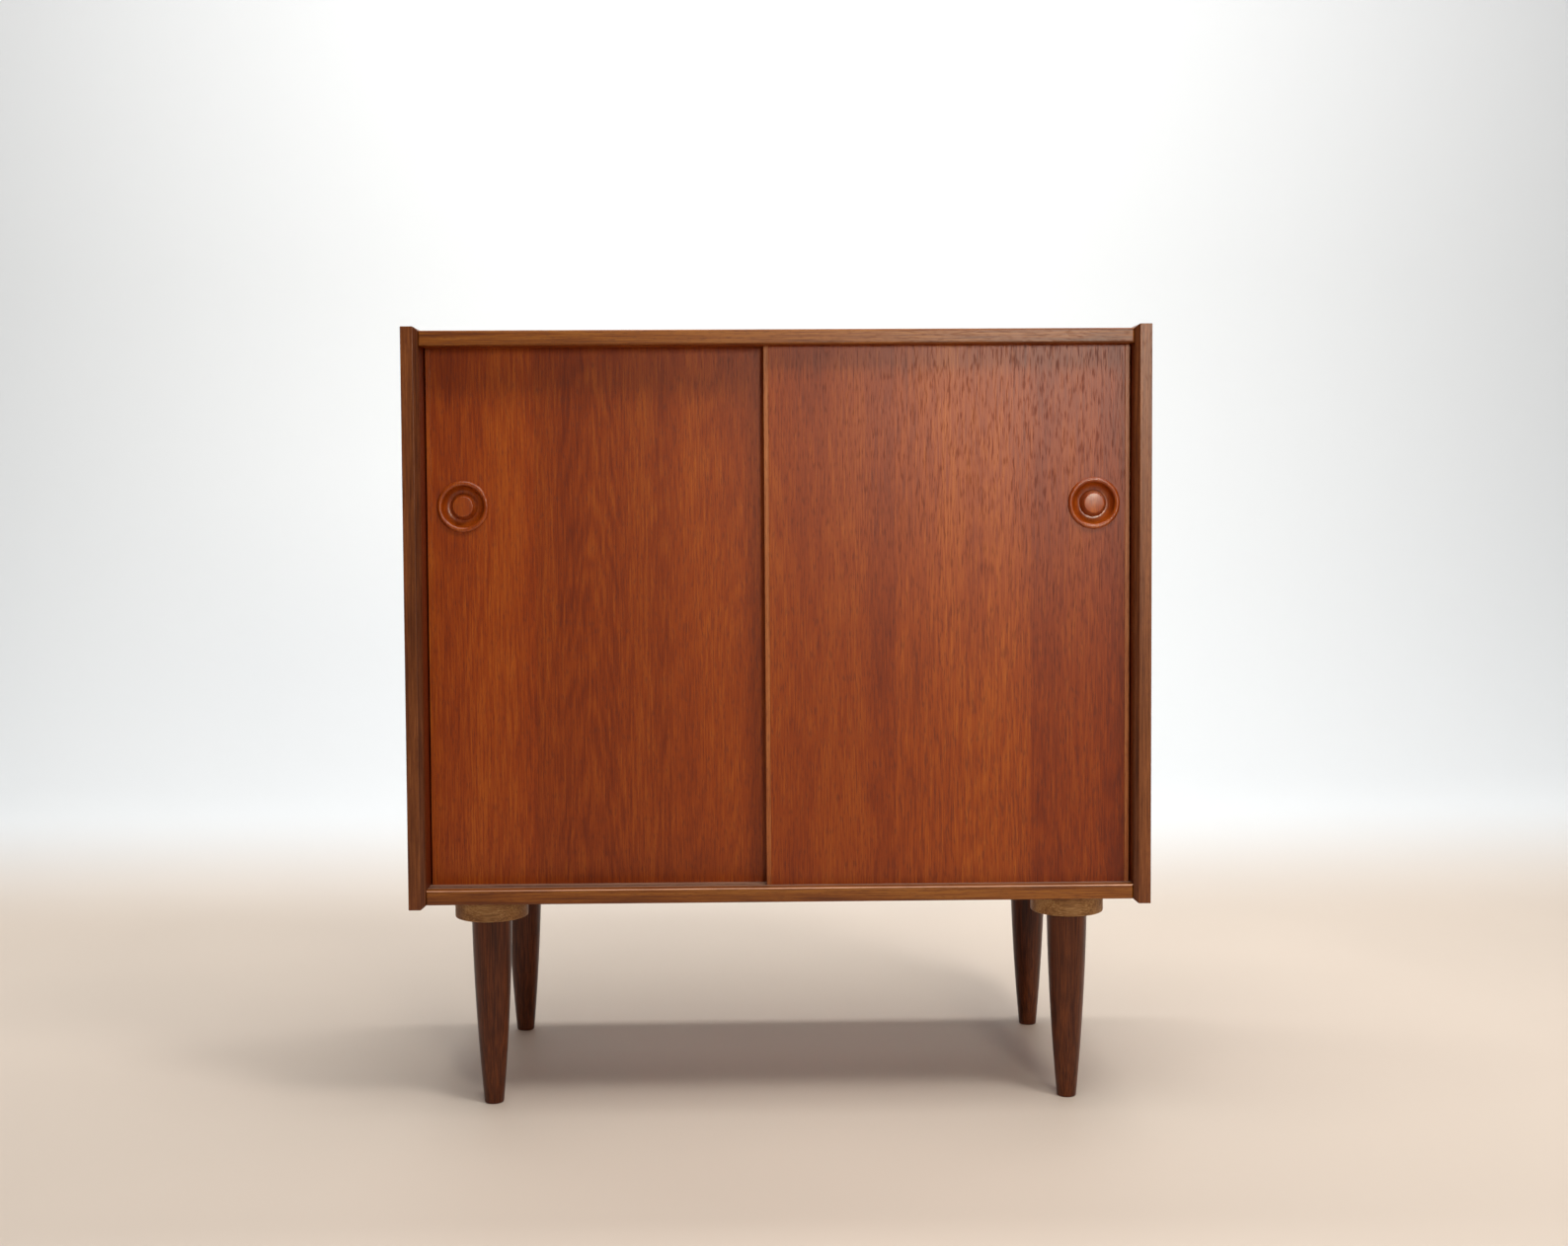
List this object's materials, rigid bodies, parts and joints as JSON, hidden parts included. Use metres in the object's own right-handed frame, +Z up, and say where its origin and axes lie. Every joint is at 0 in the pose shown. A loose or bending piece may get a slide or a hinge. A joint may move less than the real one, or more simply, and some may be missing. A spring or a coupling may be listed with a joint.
{
  "type": "sliding door cabinet",
  "caption": "Low teak-veneered storage cabinet on turned tapered legs, with overlapping sliding doors, round recessed pulls and a loose shelf.",
  "frame": {"origin": "on the floor under the middle of the cabinet", "axes": "+X to the right of someone facing the doors, +Y from the doors to the back, +Z up"},
  "size_m": [0.8, 0.424, 0.854],
  "materials": {
    "teak_veneer": "sliced veneer, satin oil and lacquer",
    "teak_door_veneer": "sliced veneer leaves, grain upright, satin lacquer",
    "teak_lipping": "planed solid, satin lacquer",
    "turned_teak": "turned and polished, satin lacquer",
    "stained_beech": "turned, dark brown stain and satin lacquer",
    "oiled_beech": "turned, thin oil",
    "beech_dowel": "raw, fluted",
    "hardboard": "pressed fibre board, smooth face out",
    "zinc_steel": "zinc plated",
    "brass": "turned"
  },
  "bodies": {
    "carcass": {"back_panel": "hardboard", "back_panel_pins": "zinc_steel", "bottom_board": "teak_veneer", "bottom_board_lipping": "teak_lipping", "bottom_dowels": "beech_dowel", "collar_back_left": "oiled_beech", "collar_back_right": "oiled_beech", "collar_front_left": "oiled_beech", "collar_front_right": "oiled_beech", "collar_screws": "zinc_steel", "left_side_bottom_lipping": "teak_lipping", "left_side_front_lipping": "teak_lipping", "left_side_panel": "teak_veneer", "left_side_top_lipping": "teak_lipping", "leg_back_left": "stained_beech", "leg_back_right": "stained_beech", "leg_bolts": "zinc_steel", "leg_front_left": "stained_beech", "leg_front_right": "stained_beech", "leg_inserts": "zinc_steel", "right_side_bottom_lipping": "teak_lipping", "right_side_front_lipping": "teak_lipping", "right_side_panel": "teak_veneer", "right_side_top_lipping": "teak_lipping", "shelf": "teak_veneer", "shelf_lipping": "teak_lipping", "shelf_pins": "brass", "top_board": "teak_veneer", "top_board_lipping": "teak_lipping", "top_dowels": "beech_dowel"},
    "left_door": {"left_door_inner_lipping": "teak_lipping", "left_door_outer_lipping": "teak_lipping", "left_door_panel": "teak_door_veneer", "left_door_pull": "turned_teak"},
    "right_door": {"right_door_inner_lipping": "teak_lipping", "right_door_outer_lipping": "teak_lipping", "right_door_panel": "teak_door_veneer", "right_door_pull": "turned_teak"}
  },
  "joints": [
    {"name": "left_door_slide", "type": "slide", "parent": "carcass", "child": "left_door", "axis": [1, 0, 0], "range_m": [0, 0.3655]},
    {"name": "right_door_slide", "type": "slide", "parent": "carcass", "child": "right_door", "axis": [1, 0, 0], "range_m": [-0.3655, 0]}
  ]
}
